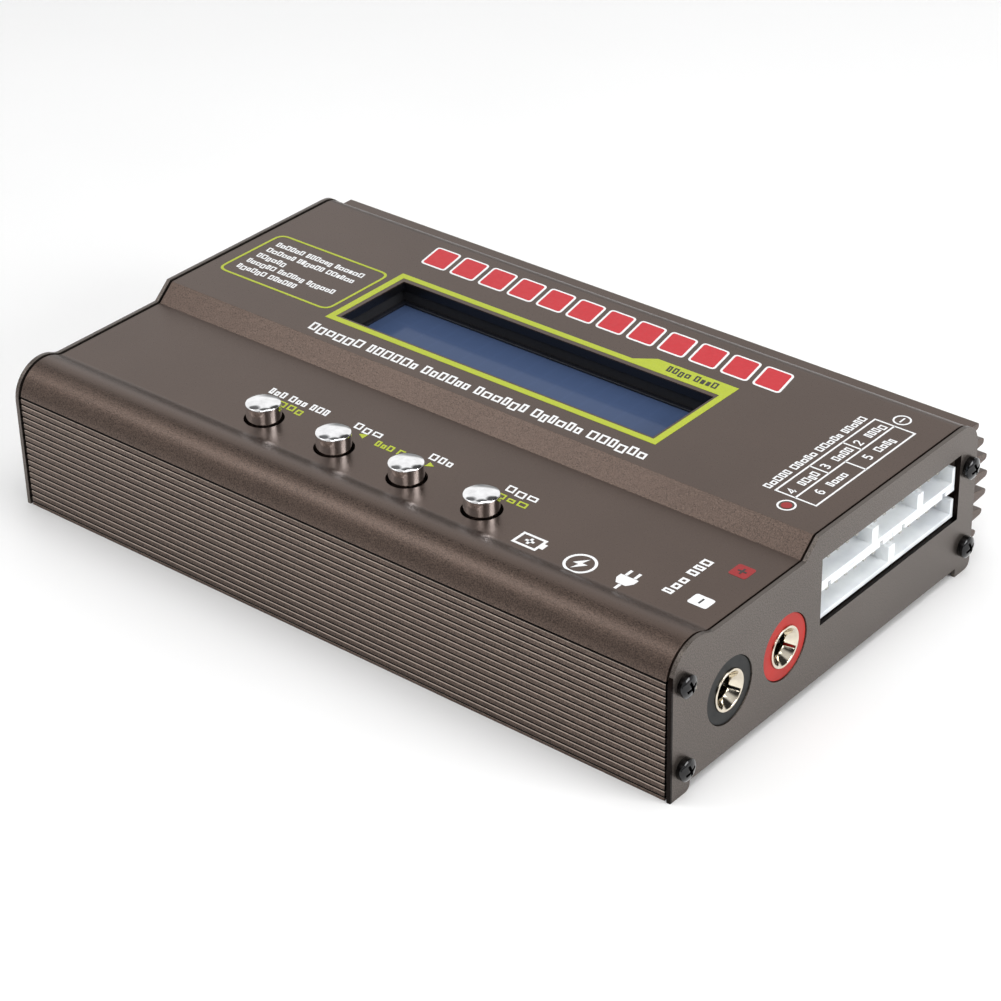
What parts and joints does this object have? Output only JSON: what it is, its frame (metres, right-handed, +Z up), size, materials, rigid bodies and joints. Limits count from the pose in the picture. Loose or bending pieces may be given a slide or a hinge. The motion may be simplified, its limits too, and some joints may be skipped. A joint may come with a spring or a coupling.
{
  "type": "balance battery charger",
  "caption": "Bench balance charger: finned aluminium case, stepped deck with push buttons, display, power sockets and balance sockets.",
  "frame": {"origin": "on the surface that the charger stands on, under the middle of its bounding box", "axes": "+X along the extruded case towards the output sockets, +Y from the ribbed front to the finned back, +Z up"},
  "size_m": [0.1366, 0.0848, 0.0275],
  "materials": {
    "case_anodised": "satin bronze-grey anodised, sandblasted",
    "base_anodised": "satin anodised",
    "plate_anodised": "satin bronze-grey anodised sheet",
    "black_screw": "black zinc, semi-gloss",
    "insulation_card": "matte translucent sheet",
    "board_green": "solder mask",
    "board_blue": "solder mask",
    "plated_steel": "zinc plated",
    "turned_brass": "turned",
    "gold_contact": "polished, pale gold plating",
    "black_plastic": "moulded",
    "spring_steel": "bright strip",
    "button_chrome": "polished",
    "plunger_white": "moulded",
    "gasket_black": "foam rubber",
    "bezel_black": "black painted steel",
    "display_blue": "blue display glass, unlit",
    "backlight_white": "light guide",
    "socket_black": "moulded",
    "socket_red": "moulded",
    "header_white": "moulded nylon",
    "tinned_pin": "tin plated",
    "gold_pin": "gold plated",
    "chip_black": "moulded epoxy",
    "core_yellow": "coated iron powder",
    "copper_wire": "enamelled copper",
    "capacitor_sleeve": "shrink sleeve",
    "thermal_grey": "silicone pad",
    "clamp_aluminium": "mill finish",
    "fuse_ceramic": "ceramic tube with plated caps",
    "trimmer_blue": "moulded"
  },
  "bodies": {
    "root": {"case_shell": "case_anodised", "base_plate": "base_anodised", "output_end_plate": "plate_anodised", "input_end_plate": "plate_anodised", "output_plate_screws": "black_screw", "input_plate_screws": "black_screw", "insulation_sheet": "insulation_card", "main_board": "board_green", "board_standoffs": "plated_steel", "board_pillars": "turned_brass", "board_screws": "plated_steel", "key_board": "board_green", "switch_housings": "black_plastic", "switch_contact_domes": "spring_steel", "lcd_gasket": "gasket_black", "lcd_bezel": "bezel_black", "lcd_glass": "display_blue", "lcd_backlight": "backlight_white", "lcd_board": "board_blue", "header_pins": "gold_pin", "header_strips": "black_plastic", "negative_socket_insulator": "socket_black", "positive_socket_insulator": "socket_red", "negative_socket_contact": "gold_contact", "positive_socket_contact": "gold_contact", "socket_washers": "black_plastic", "socket_nuts": "plated_steel", "socket_lugs": "turned_brass", "balance_socket_2": "header_white", "balance_socket_3": "header_white", "balance_socket_4": "header_white", "balance_socket_5": "header_white", "balance_socket_6": "header_white", "balance_pins": "tinned_pin", "balance_board": "board_green", "dc_jack_housing": "black_plastic", "dc_jack_pin": "tinned_pin", "dc_jack_spring": "turned_brass", "sensor_port": "header_white", "sensor_port_pins": "tinned_pin", "microcontroller": "chip_black", "inductor_cores": "core_yellow", "inductor_windings": "copper_wire", "capacitors": "capacitor_sleeve", "power_transistors": "chip_black", "thermal_pad": "thermal_grey", "clamp_bar": "clamp_aluminium", "clamp_screws": "plated_steel", "buzzer": "black_plastic", "fuse": "fuse_ceramic", "contrast_trimmer": "trimmer_blue"},
    "stop_key": {"stop_button_cap": "button_chrome", "stop_switch_plunger": "plunger_white"},
    "dec_key": {"dec_button_cap": "button_chrome", "dec_switch_plunger": "plunger_white"},
    "inc_key": {"inc_button_cap": "button_chrome", "inc_switch_plunger": "plunger_white"},
    "start_key": {"start_button_cap": "button_chrome", "start_switch_plunger": "plunger_white"}
  },
  "joints": [
    {"name": "stop_press", "type": "slide", "parent": "root", "child": "stop_key", "axis": [0, 0, -1], "range_m": [0, 0.0004], "stiffness_N_per_m": 3000, "springref_m": -0.0001},
    {"name": "dec_press", "type": "slide", "parent": "root", "child": "dec_key", "axis": [0, 0, -1], "range_m": [0, 0.0004], "stiffness_N_per_m": 3000, "springref_m": -0.0001},
    {"name": "inc_press", "type": "slide", "parent": "root", "child": "inc_key", "axis": [0, 0, -1], "range_m": [0, 0.0004], "stiffness_N_per_m": 3000, "springref_m": -0.0001},
    {"name": "start_press", "type": "slide", "parent": "root", "child": "start_key", "axis": [0, 0, -1], "range_m": [0, 0.0004], "stiffness_N_per_m": 3000, "springref_m": -0.0001}
  ]
}
